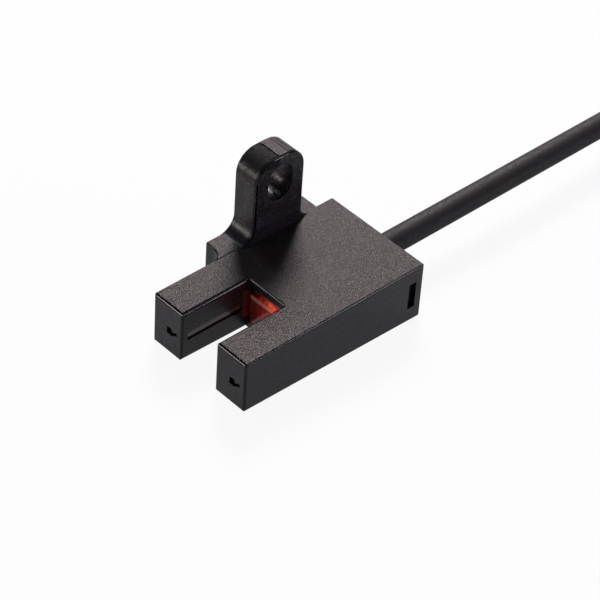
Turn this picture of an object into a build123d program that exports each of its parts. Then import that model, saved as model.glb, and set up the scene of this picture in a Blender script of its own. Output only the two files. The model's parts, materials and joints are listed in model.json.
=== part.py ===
from build123d import *

import math
import os

# Fork sensor: a slotted light barrier with a lengthwise mounting ear and a fixed cable.
# The housing is drawn in its own level frame: X runs from the fork's tips to the
# rear, Y is zero at the middle of the slot, and the top face is level. The base
# falls away to the rear by the mould's draft. `seat` then turns the whole sensor
# by that draft, so that it stands flat on its base with the origin in the middle
# of the base. All lengths are in millimetres.

# Fork housing
body_length = 23.5
body_width = 13.4
front_height = 6.0
rear_height = 6.72
slot_width = 5.0
slot_depth = 8.6
slot_edge_radius = 0.35
slot_end_radius = 0.2
slot_foot_radius = 0.45
nose_radius = 0.3
edge_radius = 0.15
tip_edge_radius = 0.24
rear_foot_radius = 0.5

# Walls of the hollow housing
side_wall = 0.7
nose_wall = 0.7
slot_wall = 0.6
top_wall = 0.85
base_wall = 0.65

# Mounting ear: a foot along the side, and a tab with one slotted hole
foot_start = 8.8
foot_end = 21.35
foot_reach = 2.7
foot_root_radius = 1.5
ear_centre = 15.58
ear_width = 6.3
ear_height = 9.4
ear_corner_radius = 2.4
ear_overlap = 0.5
ear_front_root = 2.0
ear_rear_root = 1.2
ear_edge_radius = 0.2
hole_width = 3.2
hole_length = 4.2
hole_height = 6.2
foot_edge_radius = 0.2
foot_corner_radius = 0.3
ledge_drop = 0.05
witness_width = 0.12
witness_depth = 0.1
parting_inset = 0.24
parting_width = 0.1
parting_depth = 0.07
land_width = 1.1
land_offset = 0.4
land_height = 0.05
land_groove_width = 0.12
land_groove_depth = 0.1

# Beam, its slits in the arms, and the marks on the tips
beam_depth = 3.15
beam_from_tip = 3.0
slit_start = 0.75
slit_height = 1.0
slit_bulb_centre = 7.0
slit_bulb_radius = 0.7
mark_inset = 2.0
mark_depth = 0.45
mark_drop = 0.55
mark_size = 0.8
mark_stroke = 0.36
mark_stroke_length = 1.2
mark_stroke_angle = 27.0

# Window at the slot's end, and latch windows in the sides
window_sill = 0.8
window_return = 0.75
window_return_height = 3.5
latch_window_length = 0.97
latch_window_height = 3.17
latch_window_to_rear = 0.9
latch_window_drop = 1.82

# Red inner cover
fit_gap = 0.03
cover_plate = 0.7
cover_height = 3.6
cover_rib_recess = 0.12
cover_bridge = 0.9
cover_ledge_drop = 2.2
cover_nose_radius = 0.35
lens_radius = 1.0
lens_rise = 0.3

# Rear cap with its two snap hooks
cap_depth = 2.1
cap_plate = 1.0
cap_skirt = 0.7
hook_rise = 0.2
hook_play = 0.08
cap_boss_radius = 2.45

# Cable
cable_diameter = 2.6
cable_drop = 2.77
cable_hole_play = 0.05
sheath_end_from_rear = 3.7
collar_length = 1.1
collar_wall = 0.45
seal_length = 0.7
seal_wall = 0.55
core_diameter = 0.75
core_sides = 10
cable_sides = 18
core_spread = 0.46
core_pad_pitch = 1.4
snug = 0.02

# Circuit board and what it carries
board_thickness = 0.6
board_top_drop = 3.85
board_rear_gap = 4.6
board_front_gap = 0.25
board_arm_width = 1.7
board_arm_start = 5.2
post_radius = 0.5
row_clearance = 0.3
row_pitch = 2.15
chip_width = 3.0
chip_height = 0.85
chip_offset = 1.6
transistor_length = 2.9
transistor_width = 1.3
transistor_height = 1.0
transistor_offset = -2.4
passive_length = 1.6
passive_width = 0.8
passive_height = 0.45
lamp_height = 0.6
diode_length = 1.7
diode_height = 0.8
chip_corner = 0.08
solder_radius = 0.5
solder_height = 0.45
eye_length = 2.6
eye_height = 3.0
eye_thickness = 1.5
eye_lens_radius = 0.6
eye_lens_sink = 0.45
lead_section = 0.25
lead_on_board = 1.0
lead_lift = 0.03
emitter_lead_pitch = 0.9
receiver_lead_pitch = 0.5

# Free cable: the stretch seen, the put-away hank and the stripped end
seen_run = 21.6
cable_bend = (52.0, 1.08, 3.9)
cable_foot = (63.5, 2.77, 2.2)
cable_sweep = (73.8, 7.25, 1.65)
hank_pitch = 2.65
hank_inner_fold = 7.8
hank_layers = 3
hank_run = 48.0
hank_start = (78.0, -2.35)
hank_corner = 1.0
tail_steps = ((-7.5, 1.05, 0.0), (-14.5, 4.25, -1.6), (-21.5, 6.85, -4.1), (-29.0, 7.85, -5.5))
tie_thickness = 0.3
tie_width = 3.0
tie_knot = 1.4
tie_end_length = 7.0
tie_end_lift = 8.0
tie_end_swing = 24.0
free_core_diameter = 0.8
free_core_length = 14.0
free_core_fan = 7.0
free_core_lift = 0.07
free_core_drop_run = 2.5
free_core_land_run = 4.0
bared_length = 3.0
bared_diameter = 0.42

draft = math.degrees(math.atan2(rear_height - front_height, body_length))
base_length = body_length / math.cos(math.radians(draft))
half_slot = slot_width / 2
half_width = body_width / 2
beam_height = front_height - beam_depth
cable_radius = cable_diameter / 2
cable_height = front_height - cable_drop
sheath_end = body_length - sheath_end_from_rear
below = rear_height - front_height + 1.0


def seat(shape):
    """Turns a shape from the housing's level frame so that the base lies on the ground."""
    return Pos(-base_length / 2, 0, 0) * Rot(0, -draft, 0) * shape


def seated_point(x: float, y: float, z: float) -> Vector:
    """The place on the ground frame of a point in the housing's level frame."""
    turn = math.radians(draft)
    return Vector(
        x * math.cos(turn) - z * math.sin(turn) - base_length / 2,
        y,
        x * math.sin(turn) + z * math.cos(turn),
    )


def block(x0: float, x1: float, y0: float, y1: float, z0: float, z1: float) -> Part:
    """A box between two corners."""
    size = (x1 - x0, y1 - y0, z1 - z0)
    return Pos((x0 + x1) / 2, (y0 + y1) / 2, (z0 + z1) / 2) * Box(*size)


def rod(x0: float, x1: float, y: float, z: float, radius: float) -> Part:
    """A round rod along X."""
    middle = Pos((x0 + x1) / 2, y, z)
    return middle * Rot(0, 90, 0) * Cylinder(radius, x1 - x0)


def base_height(x: float) -> float:
    """Height of the sloping underside at a distance from the tips."""
    return -x * math.tan(math.radians(draft))


def above_base(shape, lift: float):
    """What is left of a shape above the sloping underside, raised by a lift."""
    reach = 4 * body_length
    slab = Pos(0, 0, lift - reach / 2) * Box(reach, reach, reach)
    return shape - Rot(0, draft, 0) * slab


def fork_plan(inset_side: float, inset_nose: float, inset_slot: float, rear: float) -> Sketch:
    """The fork seen from above, drawn in by its walls and run out to a rear end."""
    width = body_width - 2 * inset_side
    plate = Pos((inset_nose + rear) / 2, 0) * Rectangle(rear - inset_nose, width)
    mouth = slot_depth + inset_slot
    gap = Pos(mouth / 2, 0) * Rectangle(mouth, slot_width + 2 * inset_slot)
    return plate - gap


def slot_cutter() -> Part:
    """The fork slot, with rounded top edges along its walls and at its end."""
    over = 1.0
    top = front_height
    cutter = block(-over, slot_depth, -half_slot, half_slot, -below, top + over)
    radius = slot_edge_radius
    for side in (-1, 1):
        y0, y1 = sorted((side * (half_slot - radius), side * (half_slot + radius)))
        corner = block(-over, slot_depth, y0, y1, top - radius, top + over)
        edge = rod(-2 * over, slot_depth + over, side * (half_slot + radius), top - radius, radius)
        cutter += corner - edge
    radius = slot_end_radius
    corner = block(
        slot_depth - radius, slot_depth + radius, -half_slot, half_slot, top - radius, top + over
    )
    middle = Pos(slot_depth + radius, 0, top - radius) * Rot(90, 0, 0)
    return cutter + (corner - middle * Cylinder(radius, 2 * slot_width))


def outer_body() -> Part:
    """The wedge-shaped block of the housing with its rounded edges and its slot."""
    plan = Pos(body_length / 2, 0) * Rectangle(body_length, body_width)
    body = above_base(extrude(Plane.XY.offset(-below) * plan, front_height + below), 0)
    nose = body.edges().filter_by(Axis.Y).sort_by(Axis.Z)[-2:].sort_by(Axis.X)[0]
    body = fillet(nose, nose_radius)
    long_edges = body.edges().filter_by(lambda edge: edge.length > 1.5)
    rest = long_edges.filter_by(lambda edge: not on_nose(edge))
    body = fillet(rest, edge_radius)
    body -= slot_cutter()
    body -= rear_foot_cutter()
    for side in (-1, 1):
        body -= slot_foot_cutter(side)
        body -= tip_edge_cutter(side * half_slot, side)
        body -= tip_edge_cutter(side * half_width, -side)
    return body


def on_nose(edge: Edge) -> bool:
    """True for the two edges that bound the rounded top of the nose."""
    middle = edge.center()
    return middle.X < 2 * nose_radius and middle.Z > front_height - 2 * nose_radius


def slot_foot_cutter(side: int) -> Part:
    """What the rounding takes off the lower edge of one of the slot's walls."""
    radius = slot_foot_radius
    y0, y1 = sorted((side * (half_slot - 0.2), side * (half_slot + radius)))
    corner = block(-1, slot_depth, y0, y1, -1, radius)
    corner -= rod(-2, slot_depth + 1, side * (half_slot + radius), radius, radius)
    return Rot(0, draft, 0) * corner


def tip_edge_cutter(wall: float, way: int) -> Part:
    """What the rounding takes off the upright edge where a tip meets a wall."""
    radius = tip_edge_radius
    y0, y1 = sorted((wall - way * radius, wall + way * radius))
    corner = block(-1, radius, y0, y1, -below, front_height + 1)
    tall = 4 * front_height
    return corner - Pos(radius, wall + way * radius, 0) * Cylinder(radius, tall)


def rear_foot_cutter() -> Part:
    """What the rounding takes off the lower edge of the rear."""
    radius = rear_foot_radius
    x0 = body_length - radius
    middle = base_height(x0) + radius
    corner = block(x0, body_length + 1, -body_width, body_width, middle - 2 * radius, middle)
    turned = Pos(x0, 0, middle) * Rot(90, 0, 0) * Cylinder(radius, 3 * body_width)
    return corner - turned


def cavity() -> Part:
    """The hollow for the inner parts, open at the rear."""
    plan = fork_plan(side_wall, nose_wall, slot_wall, body_length + 1.0)
    ceiling = front_height - top_wall
    space = extrude(Plane.XY.offset(-below) * plan, ceiling + below)
    return above_base(space, base_wall)


def foot() -> Part:
    """The foot along the side, blended into the side at its front."""
    inner_face = half_width - ear_overlap
    outer_face = half_width + foot_reach
    toe = foot_start - foot_root_radius
    plan = Polygon(
        (toe, inner_face),
        (foot_end, inner_face),
        (foot_end, outer_face),
        (foot_start, outer_face),
        (foot_start, half_width),
        (toe, half_width),
        align=None,
    )
    corners = plan.vertices()
    blend = corners.filter_by(
        lambda corner: abs(corner.X - foot_start) + abs(corner.Y - half_width) < 0.01
    )
    plan = fillet(blend, foot_root_radius * 0.98)
    outer = plan.vertices().filter_by(lambda corner: abs(corner.Y - outer_face) < 0.01)
    plan = fillet(outer, foot_corner_radius)
    solid = extrude(Plane.XY.offset(-below) * plan, front_height + below)
    solid = above_base(solid, 0)
    rim = solid.edges().filter_by(
        lambda edge: edge.center().Y > half_width + 0.05
        and abs(edge.center().Z - front_height) < 0.01
    )
    return fillet(rim, foot_edge_radius)


def tab() -> Part:
    """The tab that stands on the foot, with round roots and round upper corners."""
    inner_face = half_width - ear_overlap
    outer_face = half_width + foot_reach
    low = front_height
    high = front_height + ear_height
    front_x = ear_centre - ear_width / 2
    rear_x = ear_centre + ear_width / 2
    sunk = 0.5
    plan = Polygon(
        (front_x - ear_front_root, low - sunk),
        (rear_x + ear_rear_root, low - sunk),
        (rear_x + ear_rear_root, low),
        (rear_x, low),
        (rear_x, high),
        (front_x, high),
        (front_x, low),
        (front_x - ear_front_root, low),
        align=None,
    )
    for x, z, radius in (
        (front_x, high, ear_corner_radius),
        (rear_x, high, ear_corner_radius),
        (front_x, low, ear_front_root * 0.98),
        (rear_x, low, ear_rear_root * 0.98),
    ):
        corner = plan.vertices().sort_by(lambda item: abs(item.X - x) + abs(item.Y - z))[0]
        plan = fillet(corner, radius)
    solid = extrude(Plane.XZ.offset(-outer_face) * plan, outer_face - inner_face)
    rim = solid.edges().filter_by(
        lambda edge: edge.center().Z > low + 0.05
        and min(abs(edge.center().Y - inner_face), abs(edge.center().Y - outer_face)) < 0.01
    )
    solid = fillet(rim, ear_edge_radius)
    groove_y = inner_face + parting_inset
    rim_band = plan - offset(plan, -parting_depth)
    solid -= extrude(Plane.XZ.offset(-groove_y - parting_width) * rim_band, parting_width)
    land_x = ear_centre + land_offset
    y0 = inner_face + ear_edge_radius
    y1 = outer_face - ear_edge_radius
    reach = land_width / 2 + land_groove_width
    floor = high - land_groove_depth
    solid -= block(land_x - reach, land_x + reach, y0, y1, floor, high + 1)
    reach = land_width / 2
    return solid + block(land_x - reach, land_x + reach, y0, y1, floor - 0.1, high + land_height)


def ear() -> Part:
    """The mounting ear: the foot, and the tab with its slotted hole."""
    return foot() + tab() - ear_hole()


def ear_hole() -> Part:
    """The upright slotted hole through the tab."""
    slot = Rot(0, 0, 90) * SlotOverall(hole_length, hole_width)
    centre = Pos(ear_centre, front_height + hole_height)
    far = half_width + foot_reach + 1.0
    through = extrude(Plane.XZ.offset(-far) * centre * slot, foot_reach + ear_overlap + 2.0)
    return through


def slit_cutter(side: int) -> Part:
    """The long slit in one arm's inner wall, with the round end next to the window."""
    inside = side * (half_slot - 0.1)
    outside = side * (half_slot + slot_wall + 0.1)
    y0, y1 = min(inside, outside), max(inside, outside)
    half = slit_height / 2
    slit = block(slit_start, slit_bulb_centre, y0, y1, beam_height - half, beam_height + half)
    bulb = Pos(slit_bulb_centre, (y0 + y1) / 2, beam_height) * Rot(90, 0, 0)
    return slit + bulb * Cylinder(slit_bulb_radius, y1 - y0)


def end_window() -> Part:
    """The window at the slot's end, up to the ceiling of the hollow and round both corners."""
    sill = base_height(slot_depth) + window_sill
    ceiling = front_height - top_wall
    window = block(
        slot_depth - 0.5, slot_depth + slot_wall + 0.1, -half_slot, half_slot, sill, ceiling
    )
    for side in (-1, 1):
        window += corner_return(side, half_slot - 0.1, half_slot + slot_wall + 0.1, 0)
    return window


def corner_return(side: int, near: float, far: float, play: float) -> Part:
    """The piece of the end window that turns the corner into one inner wall."""
    y0, y1 = sorted((side * near, side * far))
    half = window_return_height / 2 - play
    return block(
        slot_depth - window_return + play,
        slot_depth + slot_wall / 2 - play,
        y0,
        y1,
        beam_height - half,
        beam_height + half,
    )


def latch_window(side: int) -> Part:
    """One window in a side wall, where a hook of the rear cap snaps in."""
    x1 = body_length - latch_window_to_rear
    x0 = x1 - latch_window_length
    top = front_height - latch_window_drop
    inner = side * (half_width - side_wall - 0.1)
    outer = side * (half_width + 0.1)
    return block(x0, x1, min(inner, outer), max(inner, outer), top - latch_window_height, top)


def tip_mark(left_edge: float) -> Part:
    """The recessed mark at the beam's height on one tip, a small pad with a slanted stroke."""
    size = mark_size
    pad = Polygon(
        (0, 0), (size * 0.5, 0), (size, size * 0.75), (size * 0.7, size * 1.15), (0, size),
        align=None,
    )
    stroke = Rectangle(mark_stroke_length, mark_stroke, align=(Align.MIN, Align.MIN))
    shape = pad + Pos(size * 0.6, -size * 0.1) * Rot(0, 0, mark_stroke_angle) * stroke
    corner = (mark_depth, left_edge - mark_inset, beam_height - mark_drop)
    face = Plane(origin=corner, x_dir=(0, -1, 0), z_dir=(-1, 0, 0))
    return extrude(face * shape, mark_depth + 0.1)


def board_posts() -> Part:
    """Four posts from the housing's floor up to the board's underside."""
    board_foot = front_height - board_top_drop - board_thickness
    posts = None
    for x in (board_start() + 1.2, board_end() - 1.2):
        for side in (-1, 1):
            low = base_height(x) + base_wall / 2
            post = Pos(x, side * (half_width - side_wall - 1.6), (low + board_foot) / 2)
            post *= Cylinder(post_radius, board_foot - low)
            posts = post if posts is None else posts + post
    return posts


def board_start() -> float:
    """Front edge of the board's wide part, just behind the red cover's bridge."""
    return slot_depth + slot_wall + fit_gap + cover_bridge + board_front_gap


def board_end() -> float:
    """Rear edge of the board, clear of the cable's sheath."""
    return body_length - board_rear_gap


def fork_case() -> Part:
    """The black housing, moulded in one piece with its ear."""
    case = outer_body() + ear() - cavity() + board_posts()
    case -= end_window()
    for side in (-1, 1):
        case -= slit_cutter(side)
        case -= latch_window(side)
    case -= tip_mark(half_width)
    case -= tip_mark(-half_slot)
    ledge = block(
        ear_centre + ear_width / 2 + ear_rear_root,
        body_length + 0.1,
        half_width - ear_overlap,
        half_width + foot_reach + 0.1,
        front_height - ledge_drop,
        front_height + 0.1,
    )
    groove = block(
        foot_start - foot_root_radius,
        ear_centre - ear_width / 2 - ear_front_root,
        half_width - witness_width,
        half_width,
        front_height - witness_depth,
        front_height + 0.1,
    )
    return case - ledge - groove


def slit_cover() -> Part:
    """The clear red inner cover: two arms behind the slits, joined by a bridge at the slot's end."""
    ceiling = front_height - top_wall
    bridge_front = slot_depth + slot_wall + fit_gap
    bridge_rear = bridge_front + cover_bridge
    inner = half_slot + slot_wall + fit_gap
    outer = inner + cover_plate
    low = beam_height - cover_height / 2
    high = beam_height + cover_height / 2
    sill = base_height(slot_depth) + window_sill
    bridge_low = base_height(bridge_rear) + base_wall + fit_gap
    cover = block(bridge_front, bridge_rear, -outer, outer, sill + fit_gap, ceiling - fit_gap)
    cover += block(
        bridge_front, bridge_rear, -inner, inner, max(bridge_low, sill), ceiling - fit_gap
    )
    ledge = front_height - cover_ledge_drop
    nose = block(
        slot_depth + fit_gap,
        bridge_front + fit_gap,
        -half_slot + fit_gap,
        half_slot - fit_gap,
        sill + fit_gap,
        ledge,
    )
    front_edges = nose.faces().sort_by(Axis.X)[0].edges()
    rounded = front_edges.filter_by(lambda edge: edge.center().Z > sill + 2 * fit_gap)
    cover += fillet(rounded, cover_nose_radius)
    for side in (-1, 1):
        cover += cover_arm(side, inner, outer, low, high, bridge_rear)
        cover += corner_return(side, half_slot + fit_gap, inner + cover_plate / 2, fit_gap)
    return cover


def cover_arm(side: int, inner: float, outer: float, low: float, high: float, rear: float) -> Part:
    """One arm of the red cover with the rib that fills its slit, and its lens."""
    y0, y1 = sorted((side * inner, side * outer))
    arm = block(nose_wall + 2 * fit_gap, rear, y0, y1, low, high)
    rib_face = half_slot + cover_rib_recess
    r0, r1 = sorted((side * rib_face, side * inner))
    half = slit_height / 2 - fit_gap
    rib = block(
        slit_start + fit_gap, slit_bulb_centre, r0, r1, beam_height - half, beam_height + half
    )
    bulb_radius = slit_bulb_radius - fit_gap
    bulb = Pos(slit_bulb_centre, (r0 + r1) / 2, beam_height) * Rot(90, 0, 0)
    rib += bulb * Cylinder(bulb_radius, r1 - r0)
    ball = (lens_radius**2 + lens_rise**2) / (2 * lens_rise)
    lens = Pos(beam_from_tip, side * (outer - ball + lens_rise), beam_height) * Sphere(ball)
    l0, l1 = sorted((side * outer, side * (outer + 2 * lens_rise)))
    keep = block(
        beam_from_tip - ball, beam_from_tip + ball, l0, l1, beam_height - ball, beam_height + ball
    )
    return arm + rib + (lens & keep)


def rear_cap() -> Part:
    """The cap that closes the rear, with two hooks and the cable's boss."""
    ceiling = front_height - top_wall - fit_gap
    wall = half_width - side_wall - fit_gap
    x0 = body_length - cap_depth
    rear = body_length - 2 * fit_gap
    inside = body_length - cap_plate
    cap = above_base(block(x0, rear, -wall, wall, -below, ceiling), base_wall + fit_gap)
    pocket_top = ceiling - cap_skirt
    pocket = block(x0 - 1, inside, cap_skirt - wall, wall - cap_skirt, -below, pocket_top)
    cap -= above_base(pocket, base_wall + fit_gap + cap_skirt)
    boss = rod(x0, inside + 0.1, 0, cable_height, cap_boss_radius)
    cap += boss & above_base(
        block(x0, rear, -wall, wall, -below, ceiling), base_wall + fit_gap
    )
    hole = rod(x0 - 1, body_length + 1, 0, cable_height, cable_radius + cable_hole_play)
    cap -= hole
    seal_hole = rod(x0 - 1, x0 + seal_length + 2 * fit_gap, 0, cable_height, seal_radius() + fit_gap)
    cap -= seal_hole
    for side in (-1, 1):
        cap += hook(side, wall)
    return cap


def seal_radius() -> float:
    """Outer radius of the cable's seal."""
    return cable_radius + seal_wall


def hook(side: int, wall: float) -> Part:
    """One snap hook of the rear cap, ramped towards the front."""
    x1 = body_length - latch_window_to_rear - hook_play
    x0 = x1 - latch_window_length + 2 * hook_play
    top = front_height - latch_window_drop - hook_play
    height = latch_window_height - 2 * hook_play
    wedge = Polygon(
        (x0, side * (wall - 0.2)),
        (x1, side * (wall - 0.2)),
        (x1, side * (wall + hook_rise)),
        (x1 - 0.25, side * (wall + hook_rise)),
        (x0, side * wall),
        align=None,
    )
    return extrude(Plane.XY.offset(top - height) * wedge, height, dir=(0, 0, 1))


def cable_seal() -> Part:
    """The soft ring round the cable, inside the cap's boss."""
    x0 = body_length - cap_depth
    x1 = x0 + seal_length
    ring = rod(x0, x1, 0, cable_height, seal_radius())
    return ring - rod(x0 - 1, x1 + 1, 0, cable_height, cable_radius + snug)


def cable_collar() -> Part:
    """The crimped collar that keeps the cable from being pulled out."""
    x1 = body_length - cap_depth - fit_gap
    x0 = x1 - collar_length
    ring = rod(x0, x1, 0, cable_height, cable_radius + collar_wall)
    return ring - rod(x0 - 1, x1 + 1, 0, cable_height, cable_radius + snug)


def circuit_board() -> Part:
    """The board: a wide part behind the slot and one arm into each arm of the fork."""
    top = front_height - board_top_drop
    low = top - board_thickness
    half = half_width - side_wall - 0.25
    board = block(board_start(), board_end(), -half, half, low, top)
    for side in (-1, 1):
        y0, y1 = sorted((side * (half - board_arm_width), side * half))
        board += block(board_arm_start, board_start() + 0.1, y0, y1, low, top)
    return board


def eye_middle() -> float:
    """Distance of an optical package's middle from the slot's middle."""
    cover_outer = half_slot + slot_wall + fit_gap + cover_plate
    wall = half_width - side_wall
    return (cover_outer + lens_rise + wall) / 2 + 0.05


def optical_eye(side: int) -> Part:
    """A side-looking package with its moulded lens towards the slit."""
    x0 = beam_from_tip - eye_length / 2
    y = side * eye_middle()
    y0, y1 = y - eye_thickness / 2, y + eye_thickness / 2
    half = eye_height / 2
    body = block(x0, x0 + eye_length, y0, y1, beam_height - half, beam_height + half)
    body = chamfer(body.edges().filter_by(Axis.X), 0.2)
    lens_centre = y - side * (eye_thickness / 2 - eye_lens_sink)
    return body + Pos(beam_from_tip, lens_centre, beam_height) * Sphere(eye_lens_radius)


def eye_leads(side: int, count: int, pitch: float) -> Compound:
    """The straight legs from an optical package back onto the board's arm."""
    top = front_height - board_top_drop
    x0 = beam_from_tip + eye_length / 2
    x1 = board_arm_start + lead_on_board
    legs = []
    for index in range(count):
        y = side * eye_middle() + (index - (count - 1) / 2) * pitch
        half = lead_section / 2
        low = top + lead_lift
        legs.append(block(x0, x1, y - half, y + half, low, low + lead_section))
    return Compound(children=legs)


def chip(x: float, y: float, length: float, width: float, height: float) -> Part:
    """A flat package on top of the board."""
    top = front_height - board_top_drop
    body = block(x - length / 2, x + length / 2, y - width / 2, y + width / 2, top, top + height)
    return chamfer(body.edges().filter_by(Axis.Z), chip_corner)


def passives(places: list) -> Compound:
    """A group of small two-ended parts on top of the board."""
    return Compound(
        children=[chip(x, y, passive_width, passive_length, passive_height) for x, y in places]
    )


def core_places() -> dict:
    """Each core's place in the cable and its pad's place across the board."""
    spread = core_spread
    near = core_pad_pitch / 2
    far = core_pad_pitch * 3 / 2
    return {
        "brown": ((-spread, spread), -far),
        "blue": ((spread, spread), far),
        "black": ((-spread, -spread), -near),
        "white": ((spread, -spread), near),
    }


def core_end() -> float:
    """Where the cores end on the board, at their solder joints."""
    return board_end() - 1.6


def core(offset: tuple, pad_y: float) -> Part:
    """One insulated core from the sheath's end down to its pad on the board."""
    top = front_height - board_top_drop
    rest = top + core_diameter / 2
    y0, z0 = offset[0], cable_height + offset[1]
    route = FilletPolyline(
        (sheath_end, y0, z0),
        (sheath_end - 0.8, y0, z0),
        (board_end() - 0.5, pad_y, rest),
        (core_end(), pad_y, rest),
        radius=0.45,
    )
    section = Plane(origin=route @ 0, z_dir=route % 0) * RegularPolygon(core_diameter / 2, core_sides)
    return sweep(section, path=route)


def solder_joints() -> Compound:
    """One low mound of solder at the front end of each core."""
    place = Pos(core_end() - solder_radius, 0, front_height - board_top_drop)
    mound = Cone(
        solder_radius, solder_radius / 2, solder_height, align=(Align.CENTER, Align.CENTER, Align.MIN)
    )
    return Compound(children=[place * Pos(0, pad_y, 0) * mound for _, pad_y in core_places().values()])


def tube_along(points: list, diameter: float, name: str) -> Part:
    """A cable tube of straight runs and tangent arcs, as large as the runs allow."""
    corners = [Vector(*point) for point in points]
    radii = []
    for before, corner, after in zip(corners, corners[1:], corners[2:]):
        run_in, run_out = corner - before, after - corner
        turn = math.radians(run_in.get_angle(run_out))
        radii.append(0.45 * min(run_in.length, run_out.length) / math.tan(turn / 2))
    route = FilletPolyline(*corners, radius=radii)
    section = Plane(origin=route @ 0, z_dir=route % 0) * RegularPolygon(diameter / 2, cable_sides)
    tube = sweep(section, path=route)
    ideal = section.area * route.length
    print(f"{name}: arc radii {[round(value, 1) for value in radii]} mm")
    print(f"{name}: length {route.length:.1f} mm, volume {tube.volume:.1f} of {ideal:.1f} mm3")
    return tube


def hank_floor() -> float:
    """Height of the lowest turns' middle, with the tie passing under them."""
    return cable_radius + tie_thickness


def hank_top() -> float:
    """Height of the highest turn's middle."""
    return hank_floor() + (hank_layers - 1) * hank_pitch


def hank_outer_fold() -> float:
    """Radius of the outer turns' middle at the hank's folds."""
    return hank_inner_fold + hank_pitch


def cable_route() -> list:
    """The cable from inside the collar to the outer run of the hank's lowest layer."""
    start = seated_point(sheath_end, 0, cable_height)
    rise = seen_run * math.tan(math.radians(draft))
    return [
        tuple(start),
        (start.X + seen_run, 0.0, start.Z + rise),
        cable_bend,
        cable_foot,
        cable_sweep,
        (hank_start[0] + 2 * hank_pitch, hank_start[1] + hank_outer_fold(), hank_floor()),
    ]


def tail_route() -> list:
    """The cable from the hank's top down into its middle, where the sheath ends."""
    leave = Vector(hank_start[0] + hank_run, hank_start[1] - hank_inner_fold, hank_top())
    return [tuple(leave), *[tuple(leave + Vector(*step)) for step in tail_steps]]


def run_section(extra: float) -> Sketch:
    """One side of the hank cut across, grown by an extra thickness."""
    width = hank_pitch + cable_diameter + 2 * extra
    height = hank_top() - hank_floor() + cable_diameter + 2 * extra
    middle = (hank_floor() + hank_top()) / 2
    plate = Pos(0, middle) * Rectangle(width, height)
    return chamfer(plate.vertices(), hank_corner)


def cable_hank() -> Part:
    """The closed outer form of the folded cable's turns."""
    low = hank_floor() - cable_radius
    height = hank_top() - hank_floor() + cable_diameter
    outer = hank_outer_fold() + cable_radius
    inner = hank_inner_fold - cable_radius
    plan = SlotCenterToCenter(hank_run, 2 * outer) - SlotCenterToCenter(hank_run, 2 * inner)
    middle = Pos(hank_start[0] + hank_run / 2, hank_start[1], low)
    solid = extrude(plan, height)
    rims = solid.faces().filter_by(Axis.Z).edges()
    return middle * chamfer(rims, hank_corner)


def hank_tie() -> Part:
    """The tie round one side of the hank, with its knot and two ends on top."""
    band = run_section(tie_thickness) - run_section(0)
    wrap = extrude(Plane.YZ.offset(-tie_width / 2) * band, tie_width)
    top = hank_top() + cable_radius + tie_thickness
    knot = Pos(0, 0, top + tie_knot / 2 - 0.05) * Rot(0, 90, 0)
    wrap += knot * Cylinder(tie_knot / 2, tie_width * 1.2)
    for swing in (-tie_end_swing, tie_end_swing):
        strip = Pos(0, 0, top + tie_knot / 2) * Rot(0, 0, swing + 90) * Rot(0, -tie_end_lift, 0)
        wrap += strip * block(0, tie_end_length, -0.8, 0.8, -0.15, 0.15)
    side = hank_start[1] - hank_inner_fold - hank_pitch / 2
    return Pos(hank_start[0] + hank_run / 2, side, 0) * wrap


def free_core(index: int) -> tuple:
    """One core of the stripped end, fanned out on the ground, and its bared tip."""
    lead = Vector(*tail_route()[-1])
    before = Vector(*tail_route()[-2])
    way = (lead - before).normalized()
    place = index - 1.5
    heading = math.radians(math.degrees(math.atan2(way.Y, way.X)) + place * free_core_fan)
    ahead = Vector(math.cos(heading), math.sin(heading), 0)
    across = Vector(-way.Y, way.X, 0).normalized()
    radius = free_core_diameter / 2
    level = (-1, 1, -1, 1)[index] * core_spread
    side = (-1, -1, 1, 1)[index] * core_spread
    start = lead + way * free_core_lift + across * side + across.cross(-way) * level
    bend = start + way * free_core_drop_run + across * place * radius
    landing = bend + ahead * free_core_land_run
    landing = Vector(landing.X, landing.Y, radius + free_core_lift)
    bent = free_core_drop_run + free_core_land_run
    stop = landing + ahead * (free_core_length - bared_length - bent)
    route = FilletPolyline(start, bend, landing, stop, radius=[4.0, 5.0])
    section = Plane(origin=route @ 0, z_dir=route % 0) * RegularPolygon(radius, core_sides)
    insulation = sweep(section, path=route)
    tip_face = Plane(origin=route @ 1, z_dir=route % 1) * RegularPolygon(bared_diameter / 2, core_sides)
    return insulation, extrude(tip_face, bared_length)


def board_pieces() -> dict:
    """The board, its components and the optical packages, by name.

    A front row stands behind the slot and a rear row in front of the solder
    joints. The amplifier and the transistor fill the room between the two rows.
    """
    front = board_start() + row_clearance + passive_width / 2
    rear = core_end() - 2 * solder_radius - row_clearance - passive_width / 2
    room = rear - front - passive_width - 2 * row_clearance
    middle = (front + rear) / 2
    size = (passive_width, passive_length)
    return {
        "circuit_board": circuit_board(),
        "infrared_emitter": optical_eye(1),
        "emitter_legs": eye_leads(1, 2, emitter_lead_pitch),
        "light_receiver": optical_eye(-1),
        "receiver_legs": eye_leads(-1, 3, receiver_lead_pitch),
        "indicator_lamp": chip(front, 0, *size, lamp_height),
        "amplifier_chip": chip(middle, chip_offset, room, chip_width, chip_height),
        "output_transistor": chip(
            middle, transistor_offset, transistor_width, transistor_length, transistor_height
        ),
        "protection_diode": chip(rear, -2 * row_pitch, passive_width, diode_length, diode_height),
        "chip_resistors": passives(
            [(front, -2 * row_pitch), (front, 2 * row_pitch), (rear, row_pitch), (rear, 2 * row_pitch)]
        ),
        "chip_capacitors": passives([(rear, 0), (rear, -row_pitch)]),
        "solder_joints": solder_joints(),
    }


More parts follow.
